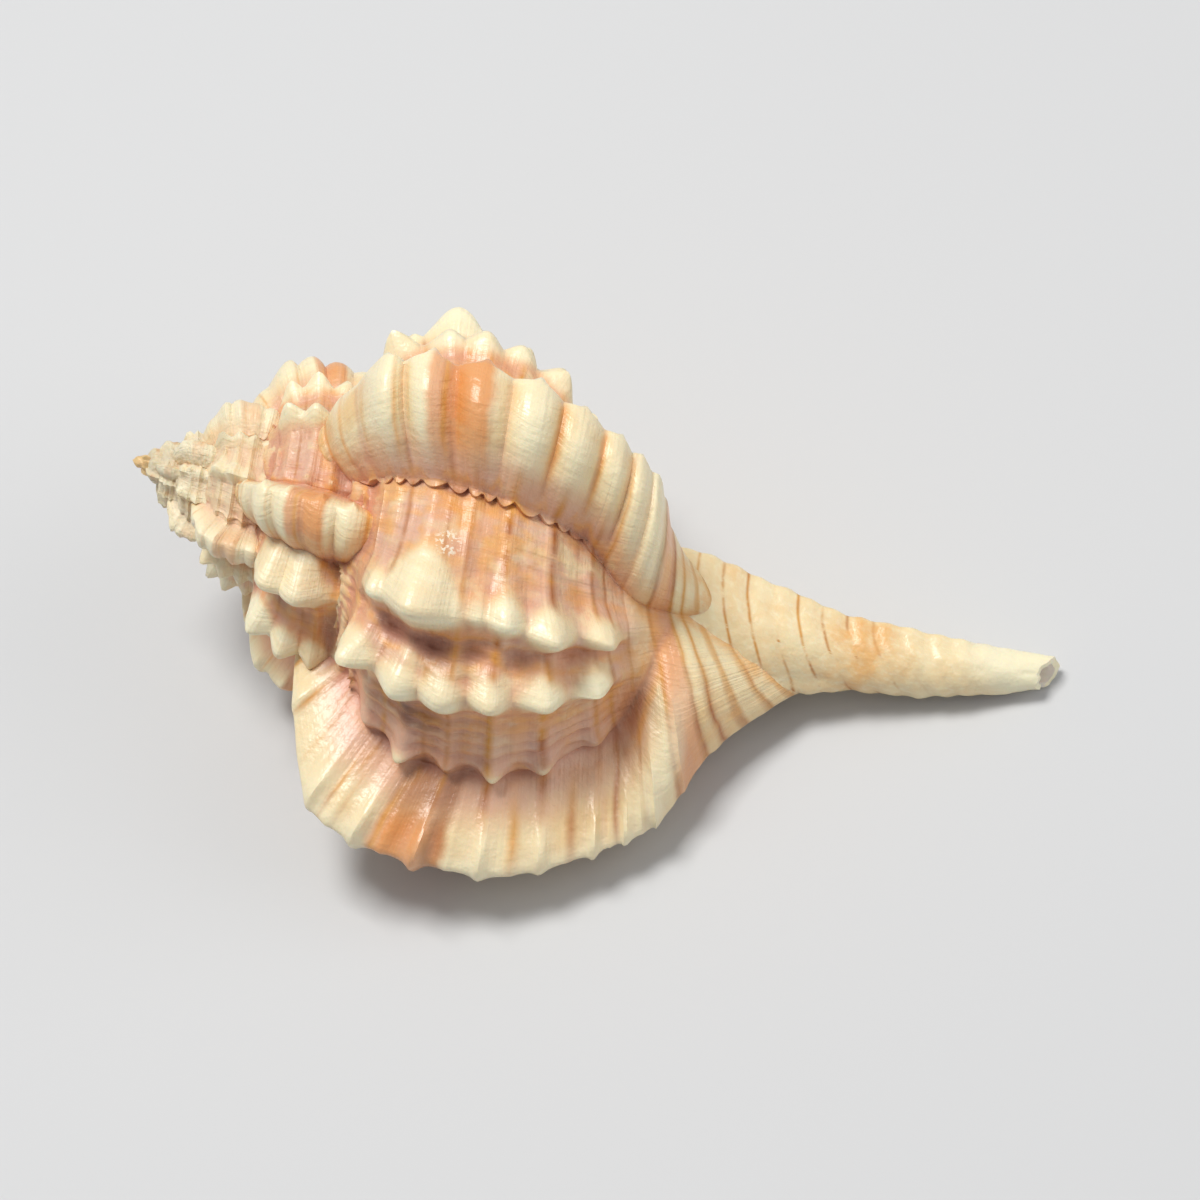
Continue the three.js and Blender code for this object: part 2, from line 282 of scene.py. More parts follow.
def stage_surface(stage, phase, cord):
    """Points of a stage, with their prominence on the ribs, their rise on the varix and their turns."""
    turns = phase - VARIX_STEP * stage
    size = growth(turns)
    body, edge = body_outline(cord), edge_outline(cord)
    rise = VARIX_HEIGHTS[min(stage, len(VARIX_HEIGHTS) - 1)] * varix_rise(stage, phase, cord)
    open_body = 1 - np.clip(rise, 0, 1)

    callus_middle, callus_reach = sum(CALLUS) / 2, 0.5 * (CALLUS[1] - CALLUS[0])
    covered = np.clip(1 - np.abs(turns - callus_middle) / callus_reach, 0, 1)
    worn = 1 - 0.8 * smooth(covered, 0, 0.35)
    nodes = node_relief(stage, phase, cord)
    ribs, knobs = rib_relief(stage, phase, cord)
    ornament = (nodes + (ribs + knobs) * open_body) * worn * np.clip(1.15 - rise, 0, 1)
    fine = cords_and_lines(stage, phase, cord, turns)
    fine = fine * open_body * worn * (1 - 0.7 * np.clip(nodes / 2, 0, 1))
    lamellae = ramp_lamellae(stage, cord, turns, open_body)
    lean, fluting = varix_folds(stage, phase, cord, rise)
    relief = ornament + fine + lamellae + fluting + wall_unevenness(stage, cord, turns)

    # a stage starts a little lower than the one before ends
    first = FACE_REACH - VARIX_STEP
    start = smooth(phase, first - OVERLAP, first + 0.05)
    seam = SEAM_STEP[stage >= EXPOSED_STAGES]
    radius = (body[..., 1] * (1 - rise) + edge[..., 1] * rise + relief) * (1 - seam * (1 - start))
    along = body[..., 0] * (1 - rise) + edge[..., 0] * rise
    # the relief stands square to the outline, not only out from the axis
    slope = body_outline(cord + 0.05) - body_outline(cord - 0.05)
    tilt = -slope[..., 1] / np.maximum(np.hypot(slope[..., 0], slope[..., 1]), 1e-6)
    along = along + 0.7 * tilt * (ornament + lamellae) * (1 - rise)
    points = place(along * size, radius * size, angle_at(turns + lean))
    prominence = np.clip((nodes + 0.5 * ribs + 1.1 * knobs) / 2.2, 0, 1)
    return points, prominence, np.clip(rise, 0, 1), turns


# ---- meshes --------------------------------------------------------------------------------------
def to_rest(points):
    """Points of the shell's own frame, turned into the resting attitude."""
    side, pitch = math.radians(REST_SIDE - 180), math.radians(REST_PITCH)
    turn = Matrix.Rotation(pitch, 3, "Y") @ Matrix.Rotation(side, 3, "X")
    return np.asarray(points) @ np.array(turn).T


def make_solid(name, points, faces, growth_uv, relief_uv):
    """A closed mesh in the shell's frame, carrying where it lies on the growth as two UV maps."""
    mesh = bpy.data.meshes.new(name)
    mesh.from_pydata(points.tolist(), [], faces)
    loops = np.empty(len(mesh.loops), int)
    mesh.loops.foreach_get("vertex_index", loops)
    for label, values in (("growth", growth_uv), ("relief", relief_uv)):
        layer = mesh.uv_layers.new(name=label)
        layer.data.foreach_set("uv", values[loops].astype(np.float32).ravel())
    volume = sum(face_volume(points, face) for face in faces[:: max(1, len(faces) // 4000)])
    if volume < 0:
        mesh.flip_normals()
    piece = bpy.data.objects.new(name, mesh)
    bpy.context.scene.collection.objects.link(piece)
    return piece


def face_volume(points, face):
    """Six times the volume between a face and the origin."""
    first = points[face[0]]
    return sum(float(first @ np.cross(points[a], points[b])) for a, b in zip(face[1:-1], face[2:]))


def grid_faces(rows, width, ring=False):
    """Quads of a grid; a ring closes every row on itself."""
    columns = width if ring else width - 1
    i, j = np.meshgrid(np.arange(rows - 1), np.arange(columns), indexing="ij")
    k = (j + 1) % width
    quads = np.stack([i * width + j, (i + 1) * width + j, (i + 1) * width + k, i * width + k], -1)
    return quads.reshape(-1, 4).tolist()


STAGE_ROWS, LEAST_ROWS = 150, 9
STAGE_COLUMNS = {True: 175, False: 110}    # with the base and neck, and without
STAGE_SHRINK = {True: 0.88, False: 0.86}   # share of rows and columns kept from stage to stage
AXIS_TOP, AXIS_MIDDLE = 16.0, 35.0         # where the sides of a stage meet the axis


def wedge_solid(stage):
    """One growth stage, filled in as far as the coiling axis."""
    exposed = stage < EXPOSED_STAGES
    shrink = STAGE_SHRINK[exposed] ** stage
    detail = 1.0
    rows = max(LEAST_ROWS, int(STAGE_ROWS * shrink * detail))
    columns = max(LEAST_ROWS, int(STAGE_COLUMNS[exposed] * shrink * detail))
    last_cord = LAST_CORD if exposed else SPIRE_LAST_CORD
    start = FACE_REACH - VARIX_STEP - OVERLAP
    # rows crowd round the varix, where the surface climbs and falls
    row_places = (start, -0.034, 0.001, FACE_REACH)
    spread = np.interp(np.linspace(0, 1, rows), (0, 0.5, 0.72, 1), row_places)
    cord = np.linspace(0, last_cord, columns)[None, :]
    # the front edge is crimped where the next stage grows out from under it
    crimp = np.abs(np.sin(np.pi * cord / CRIMP_STEP + 0.8 * np.sin(3 * cord)))
    crimp = 1 + CRIMP_DEPTH * crimp * smooth(cord, 0.6, 1.6) * (1 - smooth(cord, 7, 8)) * (stage > 0)
    reach = crimp * face_reach(stage, cord) / FACE_REACH
    phase = np.where(spread[:, None] > 0, spread[:, None] * reach, spread[:, None])
    cord = np.broadcast_to(cord, phase.shape)
    grid, prominence, rise, turns = stage_surface(stage, phase, cord)
    size = EXPANSION ** (-VARIX_STEP * stage)
    ends = place(np.array([AXIS_TOP, AXIS_MIDDLE, body_outline(last_cord)[0]]) * size, 0, 0)
    points = np.concatenate([grid.reshape(-1, 3), ends])
    top, middle, bottom = len(points) - 3, len(points) - 2, len(points) - 1
    faces = grid_faces(rows, columns)
    first = [i * columns for i in range(rows)]
    faces += [[top, b, a] for a, b in zip(first, first[1:])]
    faces += [[bottom, a + columns - 1, b + columns - 1] for a, b in zip(first, first[1:])]
    back = [top] + list(range(columns)) + [bottom]
    front = [bottom] + list(range(rows * columns - 1, (rows - 1) * columns - 1, -1)) + [top]
    for outline in (back, front):
        faces += [[middle, a, b] for a, b in zip(outline, outline[1:])]
    axis_uv = np.zeros((3, 2))
    growth_uv = np.concatenate([np.stack([cord / LAST_CORD, turns], -1).reshape(-1, 2), axis_uv])
    relief_uv = np.concatenate([np.stack([prominence, rise], -1).reshape(-1, 2), axis_uv])
    return make_solid(f"stage_{stage}", points, faces, growth_uv, relief_uv)


def tube_solid(name, rings, growth_uv, relief_uv):
    """A tube through closed rings of points, closed at both ends on the middle of its last rings."""
    rows, width = rings.shape[:2]
    ends = np.stack([rings[0].mean(0), rings[-1].mean(0)])
    points = np.concatenate([rings.reshape(-1, 3), ends])
    faces = grid_faces(rows, width, ring=True)
    last = (rows - 1) * width
    for j in range(width):
        k = (j + 1) % width
        faces.append([len(points) - 2, j, k])
        faces.append([len(points) - 1, last + k, last + j])
    growth_uv, relief_uv = (np.concatenate([values.reshape(-1, 2), values[[0, -1]].mean(1)])
                            for values in (growth_uv, relief_uv))
    return make_solid(name, points, faces, growth_uv, relief_uv)


# The first whorls, (distance from the apex, radius), and their place on the growth UV map.
PROTOCONCH = ((-0.1, 0.05), (0.15, 0.38), (0.6, 0.62), (1.1, 0.72), (1.6, 0.98), (2.4, 1.1))
PROTOCONCH_SIDES = 24
PROTOCONCH_UV = (0.3, -6.6)


def protoconch_solid():
    """The smooth first whorls, worn to a point."""
    share = np.linspace(0, len(PROTOCONCH) - 1, PROTOCONCH_SIDES)[:, None]
    angle = np.linspace(0, 2 * np.pi, PROTOCONCH_SIDES, endpoint=False)[None, :]
    along, radius = np.moveaxis(spline(PROTOCONCH)(share), -1, 0)
    radius = radius * (1 + 0.09 * np.sin(angle + 7 * along)) + 0 * angle
    growth_uv = np.stack([np.full(radius.shape, value) for value in PROTOCONCH_UV], -1)
    rings = place(along + 0.06 * np.sin(angle), radius, angle)
    return tube_solid("protoconch", rings, growth_uv, np.zeros(growth_uv.shape))


# ---- siphonal canal ------------------------------------------------------------------------------
# Ridges along the canal: (angle, where each ends, height, half width in degrees).
CANAL_FINS = ((LIP_ANGLE, 71, 1.3, 14), (58, 82, 1.0, 11), (146, 66, 0.7, 22), (254, 58, 0.6, 20))
FRACTURE_SIDE = -20        # degrees: the broken end slants towards this side
FRACTURE_SLANT = 1.9
BORE_RADIUS = (1.5, 1.05)  # of the passage, at its start and its end
BORE_START, SLIT_START = 44, 47
CUT_PAST = 2               # how far the cuts run out past the broken end
SLIT_ANGLE, SLIT_WIDTH = -108, 0.7
RING_STEP, RING_SLANT = 2.5, 2.6
FIRST_RING = 2             # added to the ring numbers on the growth UV map, which are past all cords
CANAL_ZONE, INSIDE_ZONE = 2.0, 3.0      # what the relief UV map says on these parts


def canal_solid():
    """The siphonal canal, ringed and ridged, with its broken end."""
    rows, sides = ((130, 72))
    share = np.linspace(0, 1, rows)[:, None]
    angle = np.linspace(0, 2 * np.pi, sides, endpoint=False)[None, :]
    along, radius = np.moveaxis(canal_outline(share * (len(CANAL) - 1)), -1, 0)
    for middle, end, height, width in CANAL_FINS:
        gap = (np.degrees(angle) - middle + 180) % 360 - 180
        reach = 1 - smooth(along, end - 3, end)
        radius = radius + height * bump(gap, width) * reach * np.interp(along, (50, end), (1, 0.45))
    ring = (along + RING_SLANT * np.sin(angle + 0.35)) / RING_STEP
    ringed = smooth(along, 48, 56) * (1 - smooth(along, 80, 86))
    radius = radius + 0.10 * np.cos(2 * np.pi * ring) * ringed
    radius = radius + 0.16 * rough_noise(along * 0.35, 1.2 * np.cos(angle), 1.2 * np.sin(angle))
    radius = radius + 0.05 * rough_noise(along * 1.3, 4 * np.cos(angle), 4 * np.sin(angle))
    # the broken end: slanted and chipped
    slant = FRACTURE_SLANT * (1 + np.cos(angle - math.radians(FRACTURE_SIDE))) / 2
    chip = 0.35 * rough_noise(7.7, 2.5 * np.cos(angle), 2.5 * np.sin(angle))
    along = along - smooth(along, 78, CANAL_END) * (slant + chip)
    angle = np.broadcast_to(angle, radius.shape)
    along = np.broadcast_to(along, radius.shape)
    growth_uv = np.stack([FIRST_RING + np.broadcast_to(ring, radius.shape), angle / (2 * np.pi)], -1)
    relief_uv = np.stack([np.zeros(along.shape), np.full(along.shape, CANAL_ZONE)], -1)
    return tube_solid("canal", place(along, radius, angle), growth_uv, relief_uv)


def bore_solid():
    """The passage inside the canal."""
    sides = 20
    along = np.linspace(BORE_START, CANAL_END + CUT_PAST, 60)[:, None]
    angle = np.linspace(0, 2 * np.pi, sides, endpoint=False)[None, :]
    radius = np.interp(along, (BORE_START, CANAL_END), BORE_RADIUS)
    rings = place(along, np.broadcast_to(radius, (len(along), sides)), angle)
    inside = np.zeros((len(along), sides, 2))
    return tube_solid("bore", rings, inside, inside + (0, INSIDE_ZONE))


def slit_solid():
    """The narrow opening along the canal."""
    side = math.radians(SLIT_ANGLE)
    across = np.array([0, math.cos(side), -math.sin(side)]) * SLIT_WIDTH / 2
    along = np.linspace(SLIT_START, CANAL_END + CUT_PAST, 80)
    wave = 1 + 0.35 * rough_noise(along * 0.5, 0.3, 0.7)
    inner, outer = place(along, 0, side), place(along, 12, side)
    offset = across[None, :] * wave[:, None]
    rings = np.stack([inner + offset, inner - offset, outer - offset, outer + offset], 1)
    inside = np.zeros(rings.shape[:2] + (2,))
    return tube_solid("slit", rings, inside, inside + (0, INSIDE_ZONE))


# ---- aperture ------------------------------------------------------------------------------------
CAVITY = (-0.55, 0.16)     # turns: how far it reaches back, and out past the lip
TEETH_HEIGHT, TEETH = 0.25, 18          # low ridges inside the outer lip, and how many to a circle


def cavity_solid():
    """The hollow behind the aperture, narrowing as it follows the whorl back."""
    rows, sides = ((70, 84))
    outline = aperture_outline(np.linspace(0, len(APERTURE) - 1, sides, endpoint=False))
    middle = outline.mean(0)
    turns = np.linspace(*CAVITY, rows)
    back = np.clip(turns / CAVITY[0], 0, 1)
    width = np.sqrt(np.maximum(1 - 0.97 * back ** 2.5, 0)) + 0.045 * smooth(turns, 0.015, 0.06)
    shape = middle + (outline - middle)[None] * width[:, None, None]
    swing = np.arctan2(outline[:, 1] - middle[1], outline[:, 0] - middle[0])
    outer = np.clip(np.sin(swing), 0, 1)
    teeth = TEETH_HEIGHT * outer * np.cos(swing * TEETH) * bump(turns - 0.035, 0.02)[:, None]
    shape = shape - teeth[..., None] * (outline - middle)[None] / 15
    scale = growth(turns)[:, None]
    rings = place(shape[..., 0] * scale, shape[..., 1] * scale, angle_at(turns)[:, None])
    growth_uv = np.stack([np.broadcast_to(swing, shape.shape[:2]) / 6.3,
                          np.broadcast_to(turns[:, None], shape.shape[:2])], -1)
    relief_uv = np.broadcast_to(np.array([0, INSIDE_ZONE]), growth_uv.shape)
    return tube_solid("cavity", rings, growth_uv, relief_uv)


# ---- the whole shell -----------------------------------------------------------------------------
def combine(base, others, operation):
    """Joins or cuts closed solids; the others are used up."""
    for other in others:
        step = base.modifiers.new(other.name, "BOOLEAN")
        step.solver = "MANIFOLD"
        step.operation = operation
        step.object = other
    bpy.context.view_layer.update()
    graph = bpy.context.evaluated_depsgraph_get()
    result = bpy.data.meshes.new_from_object(base.evaluated_get(graph))
    base.modifiers.clear()
    base.data = result
    for other in others:
        bpy.data.objects.remove(other, do_unlink=True)
    return base


def hollow_depths(mesh, passes):
    """How deep each point lies under its surroundings, in metres, at growing distances."""
    count = len(mesh.vertices)
    ends = np.empty(len(mesh.edges) * 2, int)
    mesh.edges.foreach_get("vertices", ends)
    a, b = ends.reshape(-1, 2).T
    points = np.empty(count * 3)
    mesh.vertices.foreach_get("co", points)
    points = points.reshape(-1, 3)
    normals = np.empty(count * 3)
    mesh.vertex_normals.foreach_get("vector", normals)
    normals = normals.reshape(-1, 3)
    degree = np.bincount(a, minlength=count) + np.bincount(b, minlength=count)
    level, done, depths = points, 0, []
    for wanted in passes:
        for _ in range(wanted - done):
            total = np.stack([np.bincount(a, level[b, k], count) + np.bincount(b, level[a, k], count)
                              for k in range(3)], -1)
            level = 0.3 * level + 0.7 * total / np.maximum(degree, 1)[:, None]
        done = wanted
        depth = np.einsum("ij,ij->i", level - points, normals)
        for _ in range(wanted // 5):
            total = np.bincount(a, depth[b], count) + np.bincount(b, depth[a], count)
            depth = 0.4 * depth + 0.6 * total / np.maximum(degree, 1)
        depths.append(depth)
    return depths


SMOOTHING = (6, 90)        # passes of smoothing that the near and the far depth are measured from
FULL_DEPTH = (0.12, 1.0)   # millimetres that count as fully hollow, near and far


def add_hollow_map(mesh):
    """A UV map of how hollow the surface is, close by and further round: 0.5 is level."""
    near, far = (np.clip(0.5 + depth / (full * MM) / 2, 0, 1)
                 for depth, full in zip(hollow_depths(mesh, SMOOTHING), FULL_DEPTH))
    loops = np.empty(len(mesh.loops), int)
    mesh.loops.foreach_get("vertex_index", loops)
    layer = mesh.uv_layers.new(name="hollow")
    layer.data.foreach_set("uv", np.stack([near, far], -1)[loops].astype(np.float32).ravel())


def build_shell():
    """The shell at rest, in metres, and how far it was shifted to lie there, in millimetres."""
    stages = [wedge_solid(stage) for stage in range(STAGES)]
    shell = combine(stages[-1], stages[-2::-1] + [protoconch_solid(), canal_solid()], "UNION")
    shell = combine(shell, [cavity_solid(), bore_solid(), slit_solid()], "DIFFERENCE")
    shell.name = "murex_shell"
    mesh = shell.data
    points = np.empty(len(mesh.vertices) * 3)
    mesh.vertices.foreach_get("co", points)
    points = to_rest(points.reshape(-1, 3))
    low, high = points.min(0), points.max(0)
    shift = np.array([(low[0] + high[0]) / 2, (low[1] + high[1]) / 2, low[2]])
    mesh.vertices.foreach_set("co", ((points - shift) * MM).ravel())
    mesh.update()
    mesh.shade_smooth()
    mesh.set_sharp_from_angle(angle=math.radians(50))
    add_hollow_map(mesh)
    return shell, shift


shell, origin_shift = build_shell()
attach(shell, "root")
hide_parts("shell")


# ---- material ------------------------------------------------------------------------------------
CREAM = (0.88, 0.73, 0.44)
IVORY = (0.93, 0.87, 0.62)
WARM = (0.82, 0.57, 0.28)
SALMON = (0.77, 0.36, 0.17)
ROSE = (0.64, 0.30, 0.20)
ORANGE = (0.74, 0.27, 0.06)
AMBER = (0.82, 0.39, 0.09)
GOLD = (0.66, 0.29, 0.03)
BROWN = (0.40, 0.11, 0.01)
MAROON = (0.15, 0.03, 0.012)
HORN = (0.76, 0.52, 0.24)
CHALK = (0.90, 0.82, 0.60)
LILAC = (0.74, 0.45, 0.33)
PORCELAIN = (0.93, 0.84, 0.72)
CRUST = (0.93, 0.85, 0.68)

# Spiral lines, as (cord, half width in cords, strength).
VARIX_LINES = ((0.52, 0.045, 1.0), (1.10, 0.045, 1.0), (1.62, 0.03, 0.5), (2.30, 0.045, 1.0),
               (2.60, 0.03, 0.4), (3.34, 0.05, 1.0), (5.50, 0.10, 1.0), (6.55, 0.09, 1.0))
BODY_LINES = ((2.45, 0.06, 0.7), (3.45, 0.06, 0.6), (4.00, 0.06, 0.7), (4.92, 0.095, 1.0),
              (6.02, 0.095, 1.0), (7.05, 0.05, 0.8))
NECK_LINES = ((7.35, 0.045, 0.8), (7.80, 0.03, 0.6), (8.38, 0.045, 1.0), (8.86, 0.04, 1.0),
              (9.10, 0.032, 1.0), (9.32, 0.032, 1.0), (9.56, 0.03, 1.0), (9.79, 0.03, 1.0))
LINE_SPREAD = 1.6          # half widths over which a line fades out

# Where markings and painted shade lie: cords, or turns back from the lip, as (from, to).
BELT = (1.0, 8.0)
AMBER_CORDS = (1.6, 5.8)
MAIN_BAND, BAND_HALVES, BAND_DARK_EDGE = (3.02, 4.22), (3.36, 3.46), (4.02, 4.16)
NECK_BAND = (8.38, 8.86)
UNDER_RIB_CORDS, DEEP_SHADE_CORDS, RAMP_CORDS = (2.35, 3.75), (4.0, 7.6), (1.2, 2.0)
APEX_TURNS, TIP_TURNS, SPIRE_TURNS = (-6.2, -5.4), (-3.6, -2.0), (-2.6, -1.2)
NEWEST_TURNS, LIP_TURNS = (-0.2, -0.1), (-0.030, -0.015)
# The season runs from 0 at the seam behind one varix to 1 at the next.
AMBER_SEASON, PINK_SEASON, UNDER_RIB_SEASON = (0.10, 0.34), (0.52, 0.66), (0.53, 0.61)
# Rings of the canal, as on the growth UV map, where the lines and then the colour give out.
RINGS_LINED, RINGS_BLEACHED = (29.0, 33.5), (34.0, 36.5)
CRUST_PLACE, CRUST_SIZE = (3.5, -0.197), (0.30, 0.0095)     # (cord, turns)

# Fineness of the irregularities, as noise cells to a metre.
BLOTCHES, WOBBLES, MOTTLES, SPECKS, CRUST_GRAINS = 130.0, 240.0, 420.0, 1500.0, 2600.0

SHELL_SURFACE = {"Subsurface Weight": 0.12, "Subsurface Radius": (1.0, 0.55, 0.3),
                 "Subsurface Scale": 0.0015, "Coat Weight": 0.15, "Coat Roughness": 0.2}


class Tree:
    """Short names for building the nodes of one material."""

    def __init__(self, material):
        material.use_nodes = True
        self.tree = material.node_tree
        self.shader = self.tree.nodes["Principled BSDF"]

    def add(self, kind, inputs=(), **settings):
        node = self.tree.nodes.new("ShaderNode" + kind)
        for name, value in settings.items():
            setattr(node, name, value)
        for name, value in dict(inputs).items():
            self.put(node.inputs[name], value)
        return node

    def put(self, socket, value):
        if isinstance(value, bpy.types.NodeSocket):
            self.tree.links.new(value, socket)
        elif isinstance(value, tuple) and socket.type == "RGBA":
            socket.default_value = (*value, 1)
        else:
            socket.default_value = value

    def math(self, operation, *values):
        node = self.add("Math", operation=operation)
        for socket, value in zip(node.inputs, values):
            self.put(socket, value)
        return node.outputs[0]

    def product(self, *values):
        total = values[0]
        for value in values[1:]:
            total = self.math("MULTIPLY", total, value)
        return total

    def step(self, value, low, high):
        node = self.add("MapRange", {"Value": value, "From Min": low, "From Max": high},
                        interpolation_type="SMOOTHSTEP")
        return node.outputs["Result"]

    def inverse(self, value):
        return self.math("SUBTRACT", 1.0, value)

    def window(self, value, low, high, edge):
        return self.product(self.step(value, low - edge, low + edge),
                            self.inverse(self.step(value, high - edge, high + edge)))

    def mix(self, share, first, second):
        node = self.add("Mix", data_type="RGBA")
        self.put(node.inputs["Factor"], share)
        self.put([s for s in node.inputs if s.name == "A" and s.type == "RGBA"][0], first)
        self.put([s for s in node.inputs if s.name == "B" and s.type == "RGBA"][0], second)
        return [s for s in node.outputs if s.type == "RGBA"][0]

    def uv(self, name):
        """Both values of a UV map."""
        node = self.add("SeparateXYZ", {"Vector": self.add("UVMap", uv_map=name).outputs["UV"]})
        return node.outputs["X"], node.outputs["Y"]

    def vector(self, x, y, z=0.0):
        return self.add("CombineXYZ", {"X": x, "Y": y, "Z": z}).outputs["Vector"]

    def noise(self, vector, scale, detail=3.0, roughness=0.55):
        node = self.add("TexNoise", {"Vector": vector, "Scale": scale, "Detail": detail,
                                     "Roughness": roughness})
        return node.outputs["Fac"]

    def lines(self, value, lines):
        """Bands of brightness along a value from 0 to 1, which counts cords in tenths."""
        node = self.add("ValToRGB", {"Fac": value})
        stops = node.color_ramp.elements
        stops[0].position, stops[0].color = 0.0, (0, 0, 0, 1)
        stops.remove(stops[1])
        for cord, half, strength in lines:
            for offset, level in ((-LINE_SPREAD, 0.0), (0.0, strength), (LINE_SPREAD, 0.0)):
                stop = stops.new((cord + offset * half) / LAST_CORD)
                stop.color = (level, level, level, 1)
        return node.outputs["Color"]


class ShellPaint(Tree):
    """The colours of the shell, laid one over another, then its gloss and small relief."""

    def __init__(self, material):
        super().__init__(material)
        self.share, self.turns = self.uv("growth")
        self.prominence, self.zone = self.uv("relief")
        self.near, self.far = self.uv("hollow")
        self.where = self.add("TexCoord").outputs["Object"]
        self.cord = self.math("MULTIPLY", self.share, float(LAST_CORD))
        self.find_places()
        self.find_irregularities()

    def over(self, share, tone):
        """Lays a tone over the colour so far."""
        self.colour = self.mix(share, self.colour, tone)

    def streaks(self, per_cord, per_turn, seed, detail):
        """Noise drawn out along the cords or along the growth lines."""
        across = self.math("MULTIPLY", self.cord, per_cord)
        return self.noise(self.vector(across, self.math("MULTIPLY", self.turns, per_turn), seed), 1.0, detail)

    def less(self, share, place):
        """One, less a share of a place."""
        return self.inverse(self.product(place, share))

    def find_places(self):
        self.wall = self.inverse(self.step(self.zone, 1.2, 1.3))
        self.canal = self.window(self.zone, 1.5, 2.5, 0.1)
        self.inside = self.step(self.zone, 2.6, 2.8)
        self.rise = self.product(self.wall, self.step(self.zone, 0.05, 0.75))
        self.body = self.product(self.wall, self.inverse(self.rise))
        stages = self.math("DIVIDE", self.math("SUBTRACT", self.turns, FACE_REACH), VARIX_STEP)
        self.season = self.math("FRACT", self.math("ADD", stages, 40.0))
        self.spire = self.inverse(self.step(self.turns, *SPIRE_TURNS))
        self.tip = self.inverse(self.step(self.turns, *TIP_TURNS))
        self.apex = self.inverse(self.step(self.turns, *APEX_TURNS))
        self.newest = self.step(self.turns, *NEWEST_TURNS)
        self.on_lip = self.step(self.turns, *LIP_TURNS)
        self.fresh = self.less(0.75, self.spire)
        # hollow, deep and groove mark recesses of the wall, where shade is painted into the colour; proud
        # marks the crests
        self.hollow = self.step(self.far, 0.50, 0.86)
        self.deep = self.step(self.far, 0.60, 0.84)
        self.proud = self.inverse(self.step(self.far, 0.16, 0.47))
        self.groove = self.step(self.near, 0.52, 0.95)

    def find_irregularities(self):
        self.blotch = self.noise(self.where, BLOTCHES, 3.0)
        self.mottle = self.noise(self.where, MOTTLES, 4.0)
        self.speck = self.noise(self.where, SPECKS, 2.0)
        self.spiral_streak = self.streaks(2.6, 7.0, 0.3, 4.0)
        self.growth_streak = self.streaks(0.35, 46.0, 5.0, 4.0)
        wobble = self.math("SUBTRACT", self.noise(self.where, WOBBLES, 2.0), 0.5)
        self.wobble = self.math("MULTIPLY", wobble, 0.012)
        self.bent_share = self.math("ADD", self.share, self.wobble)
        self.salmon_or_lilac = self.mix(self.step(self.blotch, 0.40, 0.60), SALMON, LILAC)
        self.gold_or_brown = self.mix(self.step(self.blotch, 0.4, 0.6), GOLD, BROWN)

    def paint_ground(self):
        self.colour = self.mix(self.step(self.blotch, 0.35, 0.68), CREAM, WARM)
        self.over(self.product(self.step(self.growth_streak, 0.42, 0.75), 0.45), IVORY)
        self.over(self.product(self.step(self.spiral_streak, 0.5, 0.8), self.wall, 0.35), WARM)

    def paint_body(self):
        """Salmon, pink and amber between the ribs, and painted shade in the hollows."""
        belt = self.product(self.body, self.window(self.cord, *BELT, 0.6))
        flat = self.less(0.95, self.step(self.prominence, 0.30, 0.85))
        salmon = self.product(belt, flat, self.fresh, self.step(self.mottle, 0.15, 0.55), 0.9)
        self.over(salmon, self.salmon_or_lilac)
        self.over(self.product(belt, self.step(self.streaks(1.0, 30.0, 7.0, 2.0), 0.52, 0.7), 0.7), CREAM)
        pink = self.product(belt, flat, self.step(self.season, *PINK_SEASON), self.fresh,
                            self.step(self.growth_streak, 0.2, 0.5))
        self.over(self.product(pink, 0.75), LILAC)
        early = self.inverse(self.step(self.season, *AMBER_SEASON))
        patches = self.step(self.streaks(1.1, 42.0, 3.0, 2.0), 0.42, 0.60)
        amber = self.product(self.body, self.window(self.cord, *AMBER_CORDS, 0.7), early, patches, 0.7)
        self.over(amber, AMBER)
        # rose and salmon laid into the hollows of the wall: painted shade
        below = self.mix(self.step(self.cord, 3.8, 5.4), ROSE, self.salmon_or_lilac)
        self.over(self.product(self.hollow, self.wall, 0.75, self.less(0.92, self.rise),
                               self.less(0.6, self.on_lip)), below)

    def paint_bands(self):
        """The main spiral band, in a paler and a stronger half, the maroon and painted shadow beside the
        newest rib, and the band on the neck.
        """
        shake = self.math("MULTIPLY", self.math("SUBTRACT", self.mottle, 0.5), 0.22)
        shaken = self.math("ADD", self.cord, shake)
        shaken_here = self.math("SUBTRACT", shaken, self.product(self.newest, 0.2))
        low_part = self.math("ADD", 0.3, self.product(self.on_lip, 0.4))
        self.band = self.product(self.window(shaken_here, *MAIN_BAND, 0.11),
                                 self.math("MAXIMUM", self.rise, low_part), self.less(0.35, self.spire))
        strong = self.product(self.step(shaken, *BAND_HALVES), self.step(self.spiral_streak, 0.2, 0.5))
        tone = self.mix(strong, SALMON, ORANGE)
        dark_edge = self.product(self.newest, self.step(shaken, *BAND_DARK_EDGE), 0.8)
        tone = self.mix(dark_edge, tone, self.mix(0.5, MAROON, ORANGE))
        foot = self.product(self.on_lip, self.inverse(self.step(self.zone, 0.25, 0.80)), 0.7)
        tone = self.mix(foot, tone, MAROON)
        self.over(self.product(self.band, self.step(self.growth_streak, 0.12, 0.45), 0.92), tone)
        # maroon beside the nodes of the newest rib: partly the shell's own maroon, partly the nodes' painted
        # shadow
        rib_shadow_and_maroon = self.product(self.body, self.newest, self.window(self.cord, *UNDER_RIB_CORDS, 0.3),
                                 self.window(self.season, *UNDER_RIB_SEASON, 0.035))
        self.over(self.product(rib_shadow_and_maroon, self.step(self.mottle, 0.2, 0.5), 0.8), MAROON)
        self.over(self.product(self.wall, self.window(shaken, *NECK_BAND, 0.05),
                               self.step(self.spiral_streak, 0.1, 0.5), 0.85), SALMON)

